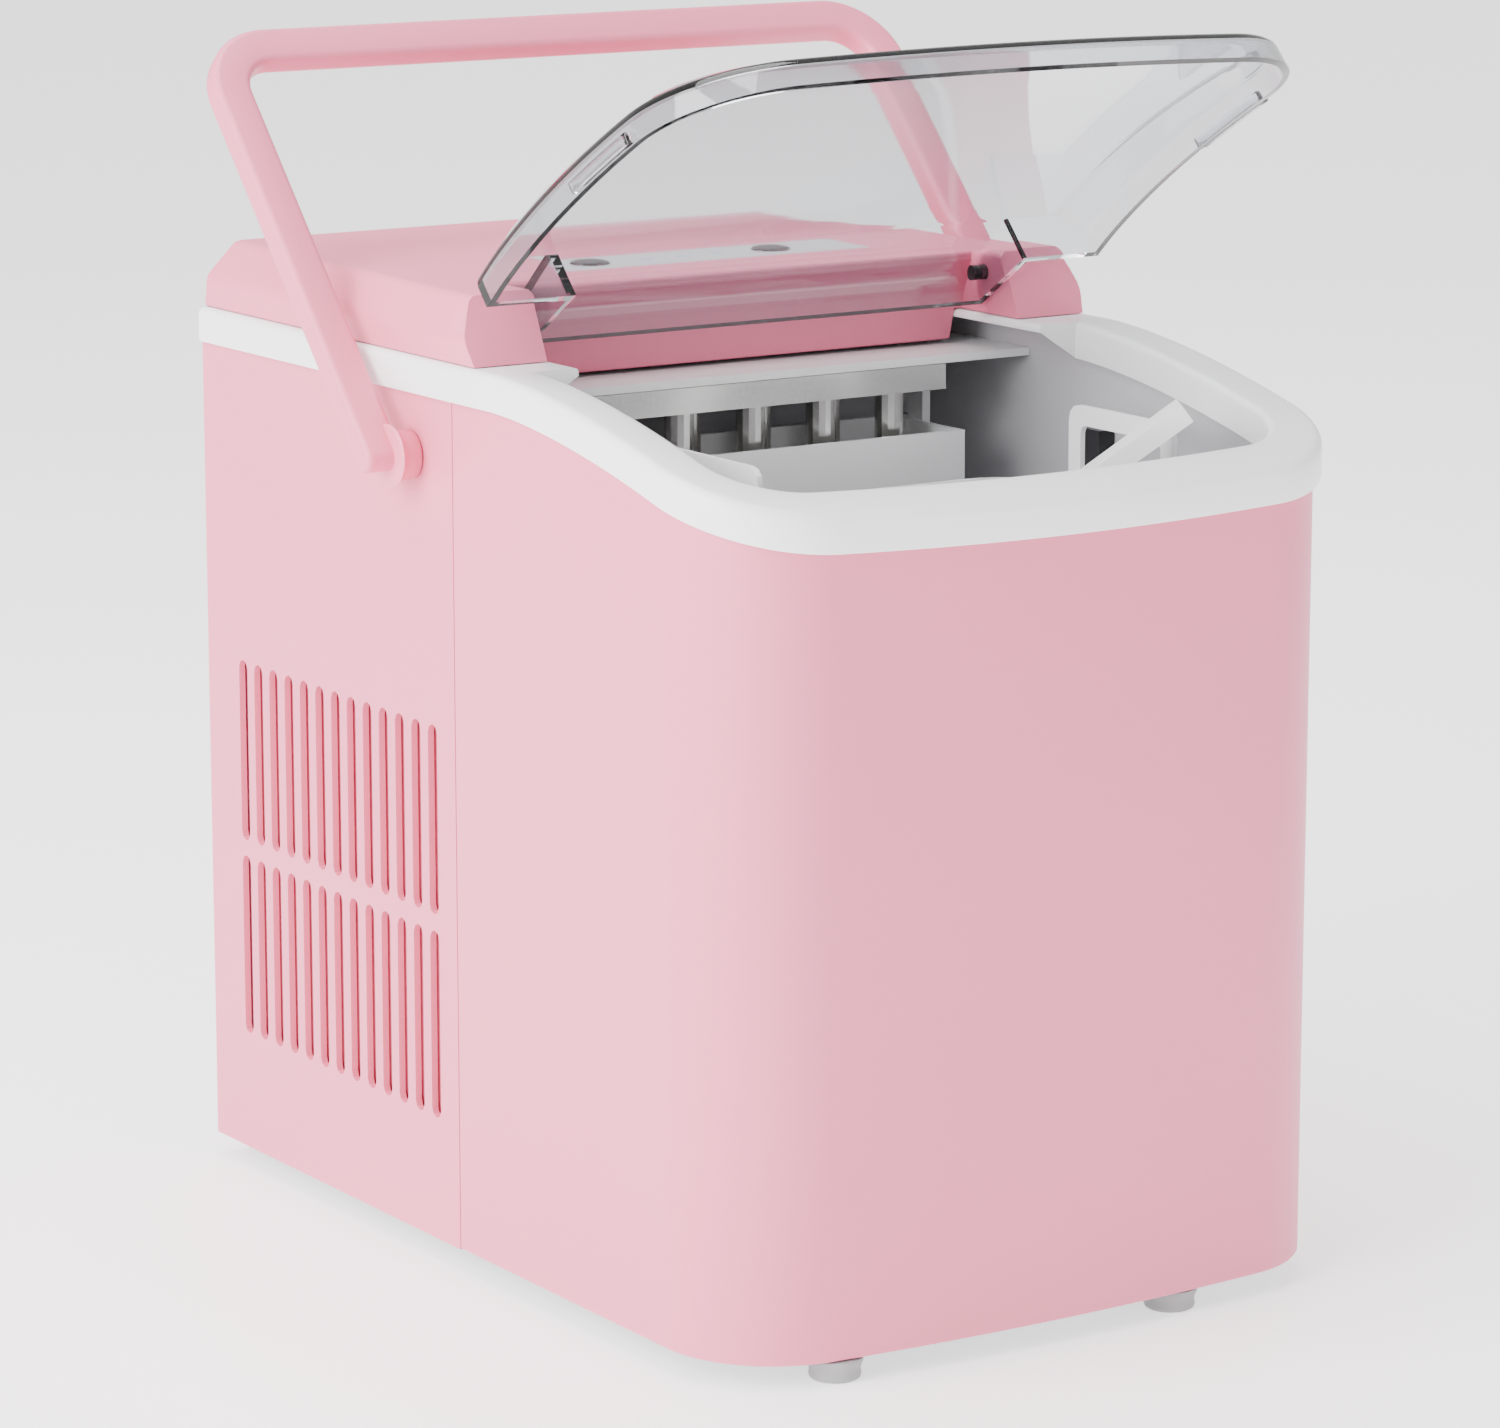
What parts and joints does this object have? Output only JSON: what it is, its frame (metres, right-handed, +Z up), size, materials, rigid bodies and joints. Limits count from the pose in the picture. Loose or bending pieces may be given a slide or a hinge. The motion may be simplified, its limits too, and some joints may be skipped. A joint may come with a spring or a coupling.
{
  "type": "countertop ice maker",
  "caption": "Countertop ice maker with a hinged clear lid, swing-up carry handle, vented case, ice basket and scoop.",
  "frame": {"origin": "on the floor, under the middle of the overall box", "axes": "+Z up, -Y the front, +X the right seen from the front"},
  "size_m": [0.257, 0.319, 0.3792],
  "materials": {
    "pink_shell": "satin pink",
    "white_plastic": "satin white",
    "clear_plastic": "clear polished",
    "grey_plastic": "satin grey",
    "dark_plastic": "satin black",
    "grey_rubber": "matt grey",
    "steel": "zinc-coated sheet",
    "bright_metal": "bright",
    "copper": "copper tube",
    "aluminium": "mill finish",
    "black_steel": "black enamel",
    "board_green": "green circuit board",
    "lens": "clear blue lens"
  },
  "bodies": {
    "machine": {"base_pan": "steel", "foot_front_left": "grey_rubber", "foot_front_right": "grey_rubber", "foot_rear_left": "grey_rubber", "foot_rear_right": "grey_rubber", "front_shell": "pink_shell", "left_side_panel": "pink_shell", "right_side_panel": "pink_shell", "back_panel": "pink_shell", "back_screw_1": "bright_metal", "back_screw_2": "bright_metal", "back_screw_3": "bright_metal", "back_screw_4": "bright_metal", "top_rim": "white_plastic", "top_housing": "pink_shell", "control_panel": "grey_plastic", "indicator_lens_1": "lens", "indicator_lens_2": "lens", "indicator_lens_3": "lens", "control_board": "board_green", "lid_pin_left": "dark_plastic", "lid_pin_right": "dark_plastic", "handle_pivot_left": "pink_shell", "handle_pivot_right": "pink_shell", "inner_tub": "grey_plastic", "reservoir_grid": "white_plastic", "drain_spout": "white_plastic", "evaporator": "bright_metal", "evaporator_frame": "white_plastic", "tray_motor": "dark_plastic", "water_pump": "dark_plastic", "pump_hose": "grey_rubber", "discharge_tube": "copper", "suction_tube": "copper", "ice_sensor_left": "dark_plastic", "ice_sensor_right": "dark_plastic", "compressor": "black_steel", "condenser": "aluminium", "fan_shroud": "dark_plastic", "fan_motor": "dark_plastic", "hot_gas_valve": "bright_metal", "filter_drier": "copper", "power_inlet": "dark_plastic"},
    "lid": {"lid": "clear_plastic"},
    "carry_handle": {"carry_handle": "pink_shell"},
    "power_button": {"power_button": "dark_plastic"},
    "select_button": {"select_button": "dark_plastic"},
    "water_tray": {"water_tray": "white_plastic"},
    "ice_shovel": {"ice_shovel": "white_plastic"},
    "fan_blade": {"fan_blade": "grey_plastic"},
    "ice_basket": {"ice_basket": "white_plastic"},
    "ice_scoop": {"ice_scoop": "white_plastic"},
    "drain_plug": {"drain_plug": "grey_rubber"}
  },
  "joints": [
    {"name": "lid_hinge", "type": "hinge", "parent": "machine", "child": "lid", "pos_m": [0, 0.0035, 0.293], "axis": [-1, 0, 0], "range_deg": [-42.5, 35]},
    {"name": "handle_swing", "type": "hinge", "parent": "machine", "child": "carry_handle", "pos_m": [0, 0.024, 0.2495], "axis": [-1, 0, 0], "range_deg": [-75, 0]},
    {"name": "power_button_press", "type": "slide", "parent": "machine", "child": "power_button", "axis": [0, 0, -1], "range_m": [0, 0.0008], "stiffness_N_per_m": 400},
    {"name": "select_button_press", "type": "slide", "parent": "machine", "child": "select_button", "axis": [0, 0, -1], "range_m": [0, 0.0008], "stiffness_N_per_m": 400},
    {"name": "tray_tilt", "type": "hinge", "parent": "machine", "child": "water_tray", "pos_m": [0, 0.033, 0.242], "axis": [1, 0, 0], "range_deg": [0, 75]},
    {"name": "shovel_push", "type": "slide", "parent": "machine", "child": "ice_shovel", "axis": [0, -1, 0], "range_m": [0, 0.0451]},
    {"name": "fan_spin", "type": "hinge", "parent": "machine", "child": "fan_blade", "pos_m": [-0.078, 0.088, 0.09], "axis": [1, 0, 0], "continuous": true},
    {"name": "basket_lift", "type": "slide", "parent": "machine", "child": "ice_basket", "axis": [0, 0, 1], "range_m": [0, 0.06]},
    {"name": "scoop_lift", "type": "slide", "parent": "ice_basket", "child": "ice_scoop", "axis": [0, 0, 1], "range_m": [0, 0.06]},
    {"name": "drain_plug_pull", "type": "slide", "parent": "machine", "child": "drain_plug", "axis": [1, 0, 0], "range_m": [0, 0.02]}
  ],
  "couplings": [
    {"joint": "shovel_push", "follows": "tray_tilt", "m_per_rad": 0.0344}
  ]
}
